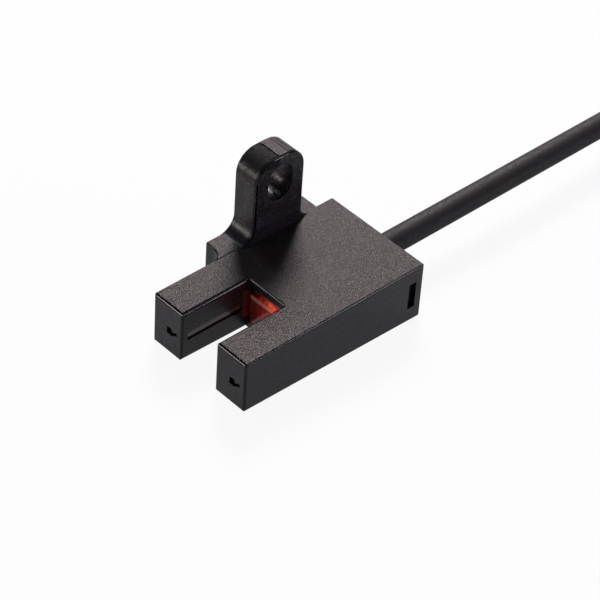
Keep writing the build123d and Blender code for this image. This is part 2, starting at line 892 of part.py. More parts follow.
def build_parts() -> dict:
    """Every piece of the sensor by name, standing on the ground."""
    pieces = {
        "fork_case": fork_case(),
        "slit_cover": slit_cover(),
        "rear_cap": rear_cap(),
        "cable_seal": cable_seal(),
        "cable_collar": cable_collar(),
    }
    pieces.update(board_pieces())
    for colour, (offset, pad_y) in core_places().items():
        pieces[f"core_{colour}"] = core(offset, pad_y)
    pieces = {name: seat(shape) for name, shape in pieces.items()}
    pieces["cable"] = tube_along(cable_route(), cable_diameter, "cable")
    pieces["cable_hank"] = cable_hank()
    pieces["hank_tie"] = hank_tie()
    pieces["cable_tail"] = tube_along(tail_route(), cable_diameter, "cable_tail")
    tips = []
    for index, colour in enumerate(core_places()):
        insulation, tip = free_core(index)
        pieces[f"end_{colour}"] = insulation
        tips.append(tip)
    pieces["bared_tips"] = Compound(children=tips)
    return pieces


os.makedirs("parts", exist_ok=True)
for name, shape in build_parts().items():
    export_step(shape, f"parts/{name}.step")
    box = shape.bounding_box()
    solids = len(shape.solids())
    print(name, solids, round(shape.volume, 2), [round(v, 2) for v in (*box.min, *box.max)])
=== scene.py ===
"""Looks of a small fork sensor: its finishes, its cable, and a plain pale studio.

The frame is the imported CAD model, in metres. X runs from the fork's tips to the
cable, Y points to the side with the mounting ear, and Z is up. The housing's top
face is level in the housing's own frame, and the whole sensor stands on its
sloping base, so it leans by the base's draft.
"""

from __future__ import annotations

import json
import logging
import math
from dataclasses import dataclass, field
from enum import Enum
from typing import Any, Sequence

import bpy
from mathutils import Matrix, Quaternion, Vector

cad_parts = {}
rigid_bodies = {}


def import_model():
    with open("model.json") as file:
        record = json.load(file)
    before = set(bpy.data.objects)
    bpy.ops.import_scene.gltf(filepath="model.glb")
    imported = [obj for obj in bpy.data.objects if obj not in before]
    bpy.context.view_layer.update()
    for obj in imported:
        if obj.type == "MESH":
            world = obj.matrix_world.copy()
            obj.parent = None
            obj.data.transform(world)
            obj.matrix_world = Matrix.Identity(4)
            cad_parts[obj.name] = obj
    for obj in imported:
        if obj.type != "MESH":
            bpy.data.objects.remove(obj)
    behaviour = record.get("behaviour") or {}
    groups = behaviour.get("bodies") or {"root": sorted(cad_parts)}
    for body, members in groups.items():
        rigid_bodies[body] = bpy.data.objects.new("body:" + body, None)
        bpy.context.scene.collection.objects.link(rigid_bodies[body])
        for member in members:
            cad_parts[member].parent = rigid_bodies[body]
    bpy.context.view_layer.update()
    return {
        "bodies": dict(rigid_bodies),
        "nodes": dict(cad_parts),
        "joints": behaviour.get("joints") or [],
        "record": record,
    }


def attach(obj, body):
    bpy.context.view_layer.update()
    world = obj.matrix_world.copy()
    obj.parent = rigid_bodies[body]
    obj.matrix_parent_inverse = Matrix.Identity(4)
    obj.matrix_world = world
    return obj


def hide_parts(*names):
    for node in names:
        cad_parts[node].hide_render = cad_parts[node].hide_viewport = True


MM = 0.001
LOG = logging.getLogger("fork_sensor")

# The noise is turned against the axes, in radians, so that no flat face lies in one
# of the noise's own planes, where the grain would look weaker than on the others.
NOISE_TURN = (0.55, 0.35, 0.8)

Colour = tuple[float, float, float]
Point = tuple[float, float, float]
Output = bpy.types.NodeSocket

# What the lights point at, in metres: the body's middle, and a point above it at
# about the height where the ear begins.
BODY: Point = (0.0, 0.0, 0.005)
EAR_HEIGHT: Point = (0.0, 0.0, 0.008)


@dataclass(frozen=True)
class Seat:
    """How the sensor stands: on a base that slopes against the level top face.

    Attributes:
        length: Length of the housing along its level top, in mm.
        drop: How much lower the base lies at the rear than at the tips, in mm.
    """

    length: float = 23.5
    drop: float = 0.72

    @property
    def lean(self) -> float:
        """Angle between the base and the top face, in radians."""
        return math.atan2(self.drop, self.length)

    def turn(self, vector: Vector) -> Vector:
        """Turns a direction from the housing's level frame into the row frame.

        Args:
            vector: A direction in the housing's level frame.

        Returns:
            The same direction in the row frame.
        """
        c, s = math.cos(self.lean), math.sin(self.lean)
        return Vector((vector.x * c - vector.z * s, vector.y, vector.x * s + vector.z * c))

    def place(self, x: float, y: float, z: float) -> Vector:
        """Places a point of the housing's level frame in the row frame.

        Args:
            x: Distance from the fork's tips, in mm.
            y: Distance from the middle of the slot, in mm.
            z: Height above the front lower edge, in mm.

        Returns:
            The point in the row frame, in metres.
        """
        base = self.length / math.cos(self.lean)
        return (self.turn(Vector((x, y, z))) - Vector((base / 2, 0, 0))) * MM


class Socket(Enum):
    """Input names of the Principled shader that the finishes set."""

    COLOUR = "Base Color"
    METAL = "Metallic"
    ROUGH = "Roughness"
    IOR = "IOR"
    NORMAL = "Normal"
    SPECULAR = "Specular IOR Level"
    TRANSMISSION = "Transmission Weight"
    GLOW_COLOUR = "Emission Color"
    GLOW_STRENGTH = "Emission Strength"


class NodeGraph:
    """A node tree with short calls for the nodes that materials and the world share."""

    def __init__(self, tree: bpy.types.NodeTree) -> None:
        """Empties the tree.

        Args:
            tree: The tree to fill.
        """
        self.tree = tree
        self.tree.nodes.clear()

    def add(self, kind: str, **values: Any) -> bpy.types.Node:
        """Adds a node and sets its plain properties.

        Args:
            kind: The node's type name.
            **values: Properties to set on the node.

        Returns:
            The new node.
        """
        node = self.tree.nodes.new(kind)
        for key, value in values.items():
            setattr(node, key, value)
        return node

    def link(self, source: Output, target: Output) -> None:
        """Links an output to an input."""
        self.tree.links.new(source, target)

    def math(self, operation: str, first: Any, second: Any) -> Output:
        """Adds a math node on outputs or plain numbers.

        Args:
            operation: The node's operation.
            first: The first output socket or number.
            second: The second output socket or number.

        Returns:
            The result's output socket.
        """
        node = self.add("ShaderNodeMath", operation=operation)
        for slot, value in zip(node.inputs, (first, second)):
            if isinstance(value, (int, float)):
                slot.default_value = value
            else:
                self.link(value, slot)
        return node.outputs[0]

    def spread(
        self,
        source: Output,
        low: float,
        high: float,
        start: float = 0.3,
        stop: float = 0.7,
    ) -> Output:
        """Maps a value to a range.

        Args:
            source: The value to map.
            low: Result at the start.
            high: Result at the stop.
            start: Value that gives the low result.
            stop: Value that gives the high result.

        Returns:
            The mapped value.
        """
        node = self.add("ShaderNodeMapRange")
        ends = {"From Min": start, "From Max": stop, "To Min": low, "To Max": high}
        for key, value in ends.items():
            node.inputs[key].default_value = value
        self.link(source, node.inputs["Value"])
        return node.outputs["Result"]

    def split(self, vector: Output) -> Any:
        """Splits a vector into its parts.

        Args:
            vector: The vector's output socket.

        Returns:
            The parts' outputs, named X, Y and Z.
        """
        node = self.add("ShaderNodeSeparateXYZ")
        self.link(vector, node.inputs["Vector"])
        return node.outputs

    def length(self, vector: Output) -> Output:
        """Measures a vector.

        Args:
            vector: The vector's output socket.

        Returns:
            The length's output socket.
        """
        node = self.add("ShaderNodeVectorMath", operation="LENGTH")
        self.link(vector, node.inputs[0])
        return node.outputs["Value"]


class NodeCanvas(NodeGraph):
    """A material's node tree, with the textures and masks that the finishes share."""

    def __init__(self, name: str) -> None:
        """Starts an empty tree that ends in a Principled shader.

        Args:
            name: Name of the new material.
        """
        self.material = bpy.data.materials.new(name)
        self.material.use_nodes = True
        super().__init__(self.material.node_tree)
        self.shader = self.add("ShaderNodeBsdfPrincipled")
        self.output = self.add("ShaderNodeOutputMaterial")
        self.link(self.shader.outputs["BSDF"], self.output.inputs["Surface"])
        self.place = self.add("ShaderNodeTexCoord")

    def set(self, socket: Socket, value: float) -> None:
        """Sets a uniform number on one of the shader's own inputs."""
        self.shader.inputs[socket.value].default_value = value

    def feed(self, socket: Socket, source: Output) -> None:
        """Links a varying value to one of the shader's inputs."""
        self.link(source, self.shader.inputs[socket.value])

    def noise(
        self,
        grain_mm: float,
        detail: float = 3.0,
        stretch: Point = (1, 1, 1),
        rough: float = 0.55,
    ) -> Output:
        """Adds a noise texture on the object's own coordinates.

        Args:
            grain_mm: Size of the noise's grain, in mm.
            detail: Octaves of finer detail.
            stretch: Scale of the coordinates along each axis.
            rough: Strength of the finer detail.

        Returns:
            The noise's value output.
        """
        mapping = self.add("ShaderNodeMapping")
        mapping.inputs["Scale"].default_value = stretch
        mapping.inputs["Rotation"].default_value = NOISE_TURN
        self.link(self.place.outputs["Object"], mapping.inputs["Vector"])
        texture = self.add("ShaderNodeTexNoise")
        texture.inputs["Scale"].default_value = 1.0 / (grain_mm * MM)
        texture.inputs["Detail"].default_value = detail
        texture.inputs["Roughness"].default_value = rough
        self.link(mapping.outputs["Vector"], texture.inputs["Vector"])
        return texture.outputs["Fac"]

    def mix(
        self,
        factor: Output,
        first: Colour | Output,
        second: Colour | Output,
    ) -> Output:
        """Mixes two plain or varied colours by a mask.

        Args:
            factor: The mask's output socket.
            first: Colour where the mask is 0.
            second: Colour where the mask is 1.

        Returns:
            The mixed colour.
        """
        node = self.add("ShaderNodeMix", data_type="RGBA")
        slots = [item for item in node.inputs if item.type == "RGBA"]
        for slot, colour in zip(slots, (first, second)):
            if isinstance(colour, tuple):
                slot.default_value = (*colour, 1.0)
            else:
                self.link(colour, slot)
        self.link(factor, node.inputs["Factor"])
        return next(item for item in node.outputs if item.type == "RGBA")

    def shades(
        self, factor: Output, colour: Colour, dark: float, pale: float
    ) -> Output:
        """Varies a colour between a darker and a paler shade of itself.

        Args:
            factor: The factor's output socket.
            colour: The mean colour.
            dark: Strength of the darker shade.
            pale: Strength of the paler shade.

        Returns:
            The varied colour.
        """
        darker = tuple(part * dark for part in colour)
        paler = tuple(min(1.0, part * pale) for part in colour)
        return self.mix(factor, darker, paler)

    def facing_up(self, low: float = 0.93, high: float = 0.985) -> Output:
        """Gives 1 on faces that look up in the object's frame and 0 on its sides.

        Args:
            low: Height of the normal where the mask starts.
            high: Height of the normal where the mask is full.

        Returns:
            The mask's output socket.
        """
        upward = self.split(self.place.outputs["Normal"])["Z"]
        return self.spread(upward, 0.0, 1.0, low, high)

    def rounded(self, low: float = 0.95, high: float = 0.985) -> Output:
        """Gives 1 on rounded edges, which face between the main directions.

        Args:
            low: Largest part of the normal at which a face counts as rounded.
            high: Largest part of the normal at which it counts as flat.

        Returns:
            The mask's output socket.
        """
        shape = self.add("ShaderNodeNewGeometry")
        size = self.add("ShaderNodeVectorMath", operation="ABSOLUTE")
        self.link(shape.outputs["Normal"], size.inputs[0])
        parts = self.split(size.outputs["Vector"])
        most = self.math("MAXIMUM", parts["X"], parts["Y"])
        most = self.math("MAXIMUM", most, parts["Z"])
        return self.spread(most, 1.0, 0.0, low, high)

    def along(self, axis: str, start_mm: float, end_mm: float) -> Output:
        """Gives a mask that changes along one of the object's axes.

        Args:
            axis: Name of the axis.
            start_mm: Where the mask is still 0.
            end_mm: Where it has become 1, on either side of the start.

        Returns:
            The mask's output socket.
        """
        place = self.split(self.place.outputs["Object"])[axis]
        return self.spread(place, 0.0, 1.0, start_mm * MM, end_mm * MM)

    def bump(
        self,
        height: Output,
        strength: float,
        depth_mm: float,
        under: Output | None = None,
    ) -> Output:
        """Adds a bump map.

        Args:
            height: The height's output socket.
            strength: How strongly the bump shows.
            depth_mm: Depth of the bump, in mm.
            under: Another bump's normal that this one lies on.

        Returns:
            The bumped normal.
        """
        node = self.add("ShaderNodeBump")
        node.inputs["Strength"].default_value = strength
        node.inputs["Distance"].default_value = depth_mm * MM
        self.link(height, node.inputs["Height"])
        if under is not None:
            self.link(under, node.inputs["Normal"])
        return node.outputs["Normal"]


@dataclass(frozen=True)
class MouldedPlastic:
    """Dark moulded plastic: a sandy, paler top and smoother sides, with painted light and
    shade in its colours.

    Attributes:
        name: Name of the material.
        colour: Mean colour of the sides; the default's blue tint is painted light, for the
            bluish light on them.
        top_colour: Mean colour of faces that look up, where the sandy grain catches light;
            the default's warm tint is painted light, for the warm key light on the top.
        top_rough: Roughness of faces that look up.
        side_rough: Roughness of the other faces.
        grain_mm: Size of the mould's grain.
        grain_depth_mm: Depth of the grain.
        contrast: How strongly the grain's dots differ in colour and shine, 0 to 1.
        specular: Strength of the shine.
        ear_foot_mm: Height at which the ear begins, which has no sandy grain.
        crown_mm: Front and height of the ear's crown, which has it again.
        edge_colour: Mean colour of the smooth rounded edges; the default is darkened as
            painted shade, which draws dark lines along them.
        edge_rough: Roughness of those edges.
        ear_side_mm: Where the ear begins along the width, which keeps its edges rough.
        ear_colour: Mean colour of the ear's sides; the default's blue tint is painted
            light, for the bluish light on them.
        ear_fleck: How much paler the ear's rare flecks are, as a multiple of the contrast;
            the flecks are painted glints of its grain.
        ear_grain_mm: Where the ear's own grain begins along the width and the height.
        blend_mm: Distance over which one kind of surface gives way to the next.
        cloud_share: Share of broader clouds in the grain.
        matt_rise: How much rougher the ear's round top is in front of its land.
        matt_mm: Where the round top begins and is full, below the crown's height; the round
            top is rougher there and takes the darker edge colour as painted shade.
    """

    name: str
    colour: Colour = (0.0178, 0.0155, 0.0236)
    top_colour: Colour = (0.0175, 0.0143, 0.0152)
    top_rough: float = 0.4
    side_rough: float = 0.28
    grain_mm: float = 0.17
    grain_depth_mm: float = 0.08
    contrast: float = 0.5
    specular: float = 0.27
    ear_foot_mm: float = 8.3
    crown_mm: tuple[float, float] = (3.12, 15.7)
    edge_colour: Colour = (0.004, 0.004, 0.0046)
    edge_rough: float = 0.13
    ear_side_mm: float = 6.35
    ear_colour: Colour = (0.0069, 0.0062, 0.0083)
    ear_fleck: float = 26.0
    ear_grain_mm: tuple[float, float] = (6.0, 7.85)
    blend_mm: float = 0.1
    cloud_share: float = 0.2
    matt_rise: float = 0.5
    matt_mm: tuple[float, float] = (1.3, 0.6)

    def make(self) -> bpy.types.Material:
        """Builds the material.

        Returns:
            The finished material.
        """
        canvas = NodeCanvas(self.name)
        fade = self.blend_mm
        dark, pale = 1.0 - self.contrast, 1.0 + self.contrast
        crown = self.crown(canvas)
        body = canvas.along("Z", self.ear_foot_mm + fade, self.ear_foot_mm - fade)
        sandy = canvas.math("MAXIMUM", body, crown)
        top = canvas.math("MULTIPLY", canvas.facing_up(), sandy)
        begin, full = (self.crown_mm[1] - below for below in self.matt_mm)
        round_top = canvas.along("Z", begin, full)
        # Mask of the ear's round top in front of its land, which is rougher and carries
        # painted shade.
        matt = canvas.math("MULTIPLY", round_top, canvas.math("SUBTRACT", 1.0, crown))
        grain = canvas.noise(self.grain_mm, 3.0, rough=0.7)
        cloud = canvas.noise(self.grain_mm * 4.0, 2.0)
        cloud = canvas.math("MULTIPLY", cloud, self.cloud_share)
        fine = canvas.spread(canvas.math("ADD", grain, cloud), 0.0, 1.0, 0.5, 0.7)
        beside = canvas.along("Y", self.ear_side_mm + fade, self.ear_side_mm - fade)
        edge = canvas.math("MULTIPLY", canvas.rounded(), beside)
        flat = canvas.math("SUBTRACT", 1.0, edge)
        # The rounded edges are smooth, and their darker colour is painted shade that draws
        # dark lines along them.
        painted_shade = canvas.shades(fine, self.edge_colour, 0.6, 1.4)
        # The sandy top and the sides differ in tint as painted light: warm where the key
        # light falls on the top, blue on the sides.
        sand = canvas.shades(fine, self.top_colour, dark, pale)
        # The ear's round top in front of its land takes the darker edge colour: painted
        # shade, where the key light is not reflected.
        side = canvas.mix(matt, self.sides(canvas, fine), painted_shade)
        canvas.feed(Socket.COLOUR, canvas.mix(edge, canvas.mix(top, side, sand), painted_shade))
        fleck = canvas.spread(fine, self.contrast * 0.2, -self.contrast * 0.2, 0.0, 1.0)
        rough = canvas.spread(top, self.side_rough, self.top_rough, 0.0, 1.0)
        rise = canvas.math("MULTIPLY", matt, self.matt_rise)
        rough = canvas.math("ADD", canvas.math("ADD", rough, rise), fleck)
        polish = canvas.math("MULTIPLY", edge, self.edge_rough)
        rough = canvas.math("ADD", canvas.math("MULTIPLY", rough, flat), polish)
        canvas.feed(Socket.ROUGH, rough)
        height = canvas.math("MULTIPLY", canvas.spread(top, 0.3, 1.0, 0.0, 1.0), grain)
        height = canvas.math("MULTIPLY", height, flat)
        flow = canvas.bump(canvas.noise(5.0, 2.0), 0.15, 0.04)
        canvas.feed(Socket.NORMAL, canvas.bump(height, 0.9, self.grain_depth_mm, flow))
        canvas.set(Socket.SPECULAR, self.specular)
        return canvas.material

    def sides(self, canvas: NodeCanvas, fine: Output) -> Output:
        """Colours the sides: even dots on the body and rare pale flecks on the ear, which
        are painted glints of its grain.

        Args:
            canvas: The material's canvas.
            fine: The fine grain, from 0 to 1.

        Returns:
            The varied colour.
        """
        dark, pale = 1.0 - self.contrast, 1.0 + self.contrast
        body = canvas.shades(fine, self.colour, dark, pale)
        # The ear's rare pale flecks are painted glints, where its grain would sparkle in
        # the light.
        dots = canvas.spread(fine, 0.0, 1.0, 0.5, 1.0)
        bright = 1.0 + self.contrast * self.ear_fleck
        ear = canvas.shades(dots, self.ear_colour, dark, bright)
        across, height = self.ear_grain_mm
        past = canvas.along("Y", across, across + self.blend_mm)
        high = canvas.along("Z", height, height + self.blend_mm)
        return canvas.mix(canvas.math("MULTIPLY", past, high), body, ear)

    def crown(self, canvas: NodeCanvas) -> Output:
        """Gives 1 on the ear's crown, from the front of its land to the back.

        Args:
            canvas: The material's canvas.

        Returns:
            The mask's output socket.
        """
        front, height = self.crown_mm
        high = canvas.along("Z", height - 1.0, height - 0.9)
        return canvas.math("MULTIPLY", high, canvas.along("X", front - 0.05, front))


@dataclass(frozen=True)
class ClearPlastic:
    """Tinted clear plastic with faint flow lines.

    Attributes:
        name: Name of the material.
        colour: Tint.
        transmission: Share of light that goes through.
        rough: Roughness of the surface.
    """

    name: str
    colour: Colour
    transmission: float = 0.6
    rough: float = 0.12

    def make(self) -> bpy.types.Material:
        """Builds the material.

        Returns:
            The finished material.
        """
        canvas = NodeCanvas(self.name)
        cloud = canvas.spread(canvas.noise(1.6, 3.0), 0.0, 1.0)
        darker = tuple(part * 0.55 for part in self.colour)
        canvas.feed(Socket.COLOUR, canvas.mix(cloud, darker, self.colour))
        fleck = canvas.noise(0.5, 3.0)
        canvas.feed(Socket.ROUGH, canvas.spread(fleck, self.rough * 0.6, self.rough * 1.5))
        canvas.feed(Socket.NORMAL, canvas.bump(canvas.noise(0.9, 2.0), 0.25, 0.02))
        canvas.set(Socket.TRANSMISSION, self.transmission)
        canvas.set(Socket.IOR, 1.49)
        return canvas.material


@dataclass(frozen=True)
class SignalCover:
    """Clear deep red cover, dark in the arms, with a painted glow at the slot's end, though
    no lamp is in it.

    Attributes:
        name: Name of the material.
        rib_reflection_colour: Colour of the ribs in the slits, pale as a painted reflection
            of the floor.
        arm_colour: Colour of the rest of the arms.
        shaded_end_colour: Colour at the slot's end, on the side of the ear, darkened as
            painted shade.
        lit_end_colour: Colour at the slot's end, on the other side, paler as painted light.
        edge_colour: Colour of the rounded edge, pale as a painted highlight.
        glow_colour: Colour of the painted glow, which stands in for light on the plastic.
        spot_colour: Colour of the brightest spot of painted glow.
        glow: Strength of the painted glow at the slot's end, from the ear's side to the
            other.
        edge_glow: Strength of the painted glow along the rounded edge.
        spot_glow: Strength of the brightest spot of painted glow.
        spot_place: Middle of that brightest painted spot, in mm.
        spot_reach: How far that brightest painted spot reaches along each axis, in mm.
        rough: Roughness of the surface.
        strip_shadow_colour: Colour of the dark strip below the ribs, a painted shadow of
            the recess's lower ledge.
        slope: How the ribs' height changes along the cover, against their lean.
        rib_mm: Where the ribs begin and end in height, each with its soft edge.
        strip_mm: Where the dark strip of painted shadow ends in height, with its soft edge.
        across_mm: Where the glow begins and where it is full, along the width; the painted
            shade of the slot's end gives way to painted light over the same span.
        end_mm: Where the slot's end begins and where it is reached.
    """

    name: str
    rib_reflection_colour: Colour = (0.4, 0.3, 0.29)
    arm_colour: Colour = (0.05, 0.002, 0.0015)
    shaded_end_colour: Colour = (0.1, 0.002, 0.0015)
    lit_end_colour: Colour = (0.6, 0.04, 0.015)
    edge_colour: Colour = (0.7, 0.3, 0.27)
    glow_colour: Colour = (1.0, 0.045, 0.03)
    spot_colour: Colour = (1.0, 0.17, 0.07)
    glow: tuple[float, float] = (0.006, 0.14)
    edge_glow: float = 0.08
    spot_glow: float = 0.24
    spot_place: Point = (-2.67, -0.1, 4.05)
    spot_reach: Point = (0.6, 1.9, 0.6)
    rough: float = 0.1
    strip_shadow_colour: Colour = (0.002, 0.001, 0.001)
    slope: float = -0.0306
    rib_mm: tuple[float, float, float, float] = (3.0, 3.06, 3.34, 3.42)
    strip_mm: tuple[float, float] = (2.96, 3.02)
    across_mm: tuple[float, float] = (2.9, -0.6)
    end_mm: tuple[float, float] = (-4.4, -4.05)

    def make(self) -> bpy.types.Material:
        """Builds the material.

        Returns:
            The finished material.
        """
        canvas = NodeCanvas(self.name)
        across = canvas.along("Y", *self.across_mm)
        at_end = canvas.along("X", *self.end_mm)
        place = canvas.split(canvas.place.outputs["Object"])
        lean = canvas.math("MULTIPLY", place["X"], self.slope)
        height = canvas.math("ADD", place["Z"], lean)
        foot, full, fade, crest = (part * MM for part in self.rib_mm)
        # The ribs' band takes a pale painted reflection.
        lit = canvas.spread(height, 1.0, 0.0, fade, crest)
        lit = canvas.math("MULTIPLY", lit, canvas.spread(height, 0.0, 1.0, foot, full))
        edge = canvas.math("MULTIPLY", canvas.facing_up(0.3, 0.5), canvas.rounded())
        edge = canvas.math("MULTIPLY", at_end, edge)
        lines = canvas.noise(0.3, 3.0, (1.0, 1.0, 0.12), 0.6)
        lines = canvas.spread(lines, 0.0, 1.0, 0.35, 0.65)
        cloud = canvas.noise(0.9, 3.0)
        # The slot's end goes from painted shade on the ear's side to painted light on the
        # other.
        end = canvas.mix(
            across,
            canvas.shades(lines, self.shaded_end_colour, 0.6, 1.4),
            canvas.shades(lines, self.lit_end_colour, 0.6, 1.4),
        )
        # The rounded edge at the slot's end takes a pale painted highlight.
        end = canvas.mix(edge, end, canvas.shades(cloud, self.edge_colour, 0.6, 1.3))
        # Painted shadow: a black strip below the ribs, where the recess lies in shade.
        under = canvas.spread(height, 1.0, 0.0, *(part * MM for part in self.strip_mm))
        under = canvas.math("MULTIPLY", under, canvas.math("SUBTRACT", 1.0, at_end))
        # The arms: their own dark red, with the painted reflection on the ribs.
        arm = canvas.mix(
            lit,
            canvas.shades(cloud, self.arm_colour, 0.6, 1.4),
            canvas.shades(cloud, self.rib_reflection_colour, 0.7, 1.3),
        )
        main = canvas.mix(at_end, arm, end)
        canvas.feed(Socket.COLOUR, canvas.mix(under, main, self.strip_shadow_colour))
        # The painted shadow strip is also made metal, so that with its black colour it
        # shows nothing but black.
        canvas.feed(Socket.METAL, under)
        canvas.feed(Socket.ROUGH, canvas.spread(cloud, self.rough * 0.7, self.rough * 1.4))
        canvas.feed(Socket.NORMAL, canvas.bump(lines, 0.25, 0.02))
        canvas.set(Socket.TRANSMISSION, 0.2)
        canvas.set(Socket.IOR, 1.5)
        # Painted glow at the slot's end, though no lamp is in the cover.
        self.light(canvas, canvas.math("MULTIPLY", across, across), at_end, edge, lines)
        return canvas.material

    def light(
        self,
        canvas: NodeCanvas,
        across: Output,
        at_end: Output,
        edge: Output,
        lines: Output,
    ) -> None:
        """Adds the painted glow, which stands in for light on the plastic, though no lamp
        is in it.

        Args:
            canvas: The material's canvas.
            across: Mask that grows away from the ear's side.
            at_end: Mask of the slot's end.
            edge: Mask of the rounded edge.
            lines: The fine upright lines.
        """
        spot = self.spot(canvas)
        streaks = canvas.spread(lines, 0.6, 1.4, 0.0, 1.0)
        glow = canvas.spread(across, *self.glow, 0.0, 1.0)
        glow = canvas.math("MULTIPLY", glow, streaks)
        rim = canvas.math("MULTIPLY", edge, self.edge_glow)
        glow = canvas.math("MULTIPLY", canvas.math("ADD", glow, rim), at_end)
        # The brightest spot of painted glow, broken up by noise.
        broken = canvas.spread(canvas.noise(0.8, 2.0), 0.15, 1.8, 0.42, 0.6)
        peak = canvas.math("MULTIPLY", spot, broken)
        peak = canvas.math("MULTIPLY", peak, self.spot_glow)
        canvas.feed(Socket.GLOW_STRENGTH, canvas.math("ADD", glow, peak))
        # The painted glow takes the painted highlight's colour on the rounded edge, and its
        # own colour in the brightest spot.
        plain = canvas.mix(edge, self.glow_colour, self.edge_colour)
        canvas.feed(Socket.GLOW_COLOUR, canvas.mix(spot, plain, self.spot_colour))

    def spot(self, canvas: NodeCanvas) -> Output:
        """Gives 1 in the middle of the brightest spot of painted glow, falling to 0 round
        it.

        Args:
            canvas: The material's canvas.

        Returns:
            The mask's output socket.
        """
        away = canvas.add("ShaderNodeMapping", vector_type="TEXTURE")
        away.inputs["Location"].default_value = [part * MM for part in self.spot_place]
        away.inputs["Scale"].default_value = [part * MM for part in self.spot_reach]
        canvas.link(canvas.place.outputs["Object"], away.inputs["Vector"])
        return canvas.spread(canvas.length(away.outputs["Vector"]), 1.0, 0.0, 0.15, 1.0)


@dataclass(frozen=True)
class Sheath:
    """Flexible round sheath with faint ripples along the cable and a fine matt skin.

    Attributes:
        name: Name of the material.
        colour: Mean colour.
        rough: Roughness of the skin.
        grain_mm: Size of the skin's grain.
        specular: Strength of the shine.
    """

    name: str
    colour: Colour
    rough: float = 0.5
    grain_mm: float = 0.16
    specular: float = 0.35

    def make(self) -> bpy.types.Material:
        """Builds the material.

        Returns:
            The finished material.
        """
        canvas = NodeCanvas(self.name)
        cloud = canvas.spread(canvas.noise(2.2, 3.0, (0.3, 1, 1)), 0.0, 1.0)
        paler = tuple(min(1.0, part * 1.3) for part in self.colour)
        darker = tuple(part * 0.75 for part in self.colour)
        canvas.feed(Socket.COLOUR, canvas.mix(cloud, darker, paler))
        skin = canvas.noise(self.grain_mm, 3.0, (0.25, 1, 1))
        canvas.feed(Socket.ROUGH, canvas.spread(skin, self.rough - 0.08, self.rough + 0.1))
        ripple = canvas.bump(canvas.noise(2.5, 2.0, (0.4, 1, 1)), 0.12, 0.03)
        canvas.feed(Socket.NORMAL, canvas.bump(skin, 0.2, 0.005, ripple))
        canvas.set(Socket.SPECULAR, self.specular)
        return canvas.material


@dataclass(frozen=True)
class Metal:
    """Plated, tinned or bare metal with fine drawing lines.

    Attributes:
        name: Name of the material.
        colour: Reflection colour.
        rough: Roughness.
        grain_mm: Width of the fine lines.
    """

    name: str
    colour: Colour
    rough: float = 0.3
    grain_mm: float = 0.06

    def make(self) -> bpy.types.Material:
        """Builds the material.

        Returns:
            The finished material.
        """
        canvas = NodeCanvas(self.name)
        lines = canvas.noise(self.grain_mm, 3.0, (0.12, 1, 1))
        dull = tuple(part * 0.78 for part in self.colour)
        shine = canvas.spread(lines, 0.0, 1.0)
        canvas.feed(Socket.COLOUR, canvas.mix(shine, dull, self.colour))
        rough = canvas.spread(lines, self.rough - 0.08, self.rough + 0.12)
        canvas.feed(Socket.ROUGH, rough)
        canvas.feed(Socket.NORMAL, canvas.bump(lines, 0.25, 0.004))
        canvas.set(Socket.METAL, 1.0)
        return canvas.material


@dataclass(frozen=True)
class BoardLacquer:
    """Green lacquer over woven glass cloth.

    Attributes:
        name: Name of the material.
        colour: Colour of the lacquer.
        weave_mm: Distance between the cloth's threads.
    """

    name: str
    colour: Colour = (0.012, 0.13, 0.045)
    weave_mm: float = 0.4

    def make(self) -> bpy.types.Material:
        """Builds the material.

        Returns:
            The finished material.
        """
        canvas = NodeCanvas(self.name)
        waves = []
        for direction in ("X", "Y"):
            wave = canvas.add("ShaderNodeTexWave", bands_direction=direction)
            wave.inputs["Scale"].default_value = 0.3 / (self.weave_mm * MM)
            wave.inputs["Distortion"].default_value = 0.4
            canvas.link(canvas.place.outputs["Object"], wave.inputs["Vector"])
            waves.append(wave.outputs["Fac"])
        weave = canvas.math("MULTIPLY", *waves)
        paler = tuple(min(1.0, part * 1.35) for part in self.colour)
        canvas.feed(Socket.COLOUR, canvas.mix(weave, self.colour, paler))
        canvas.feed(Socket.ROUGH, canvas.spread(canvas.noise(0.8), 0.22, 0.38))
        canvas.feed(Socket.NORMAL, canvas.bump(weave, 0.3, 0.01))
        return canvas.material


@dataclass(frozen=True)
class CameraRig:
    """The photograph's camera, held in the housing's level frame.

    Attributes:
        eye: Place of the camera, in mm.
        look: Direction of view.
        side: Direction of the picture's right-hand side.
        pixels: Focal length in pixels of the picture.
        picture: Width of the picture in pixels.
        sensor_mm: Width of the sensor.
        clip: Nearest and farthest distance seen, in metres.
    """

    eye: Point = (-120.59, -133.87, 167.55)
    look: Point = (0.53265, 0.53289, -0.65751)
    side: Point = (0.73786, -0.67292, 0.05236)
    pixels: float = 2542.7
    picture: float = 600.0
    sensor_mm: float = 36.0
    clip: tuple[float, float] = (0.01, 20.0)

    def build(self, seat: Seat) -> bpy.types.Object:
        """Creates the camera and makes it the scene's camera.

        Args:
            seat: How the sensor stands.

        Returns:
            The camera object.
        """
        data = bpy.data.cameras.new("photo_camera")
        data.sensor_width = self.sensor_mm
        data.lens = self.pixels * self.sensor_mm / self.picture
        data.clip_start, data.clip_end = self.clip
        camera = bpy.data.objects.new("photo_camera", data)
        bpy.context.scene.collection.objects.link(camera)
        look = seat.turn(Vector(self.look)).normalized()
        side = seat.turn(Vector(self.side)).normalized()
        level = look.to_track_quat("-Z", "Y")
        level_side = level @ Vector((1, 0, 0))
        level_up = level @ Vector((0, 1, 0))
        roll = math.atan2(side.dot(level_up), side.dot(level_side))
        camera.rotation_mode = "QUATERNION"
        camera.rotation_quaternion = level @ Quaternion((0, 0, 1), roll)
        camera.location = seat.place(*self.eye)
        bpy.context.scene.camera = camera
        return camera


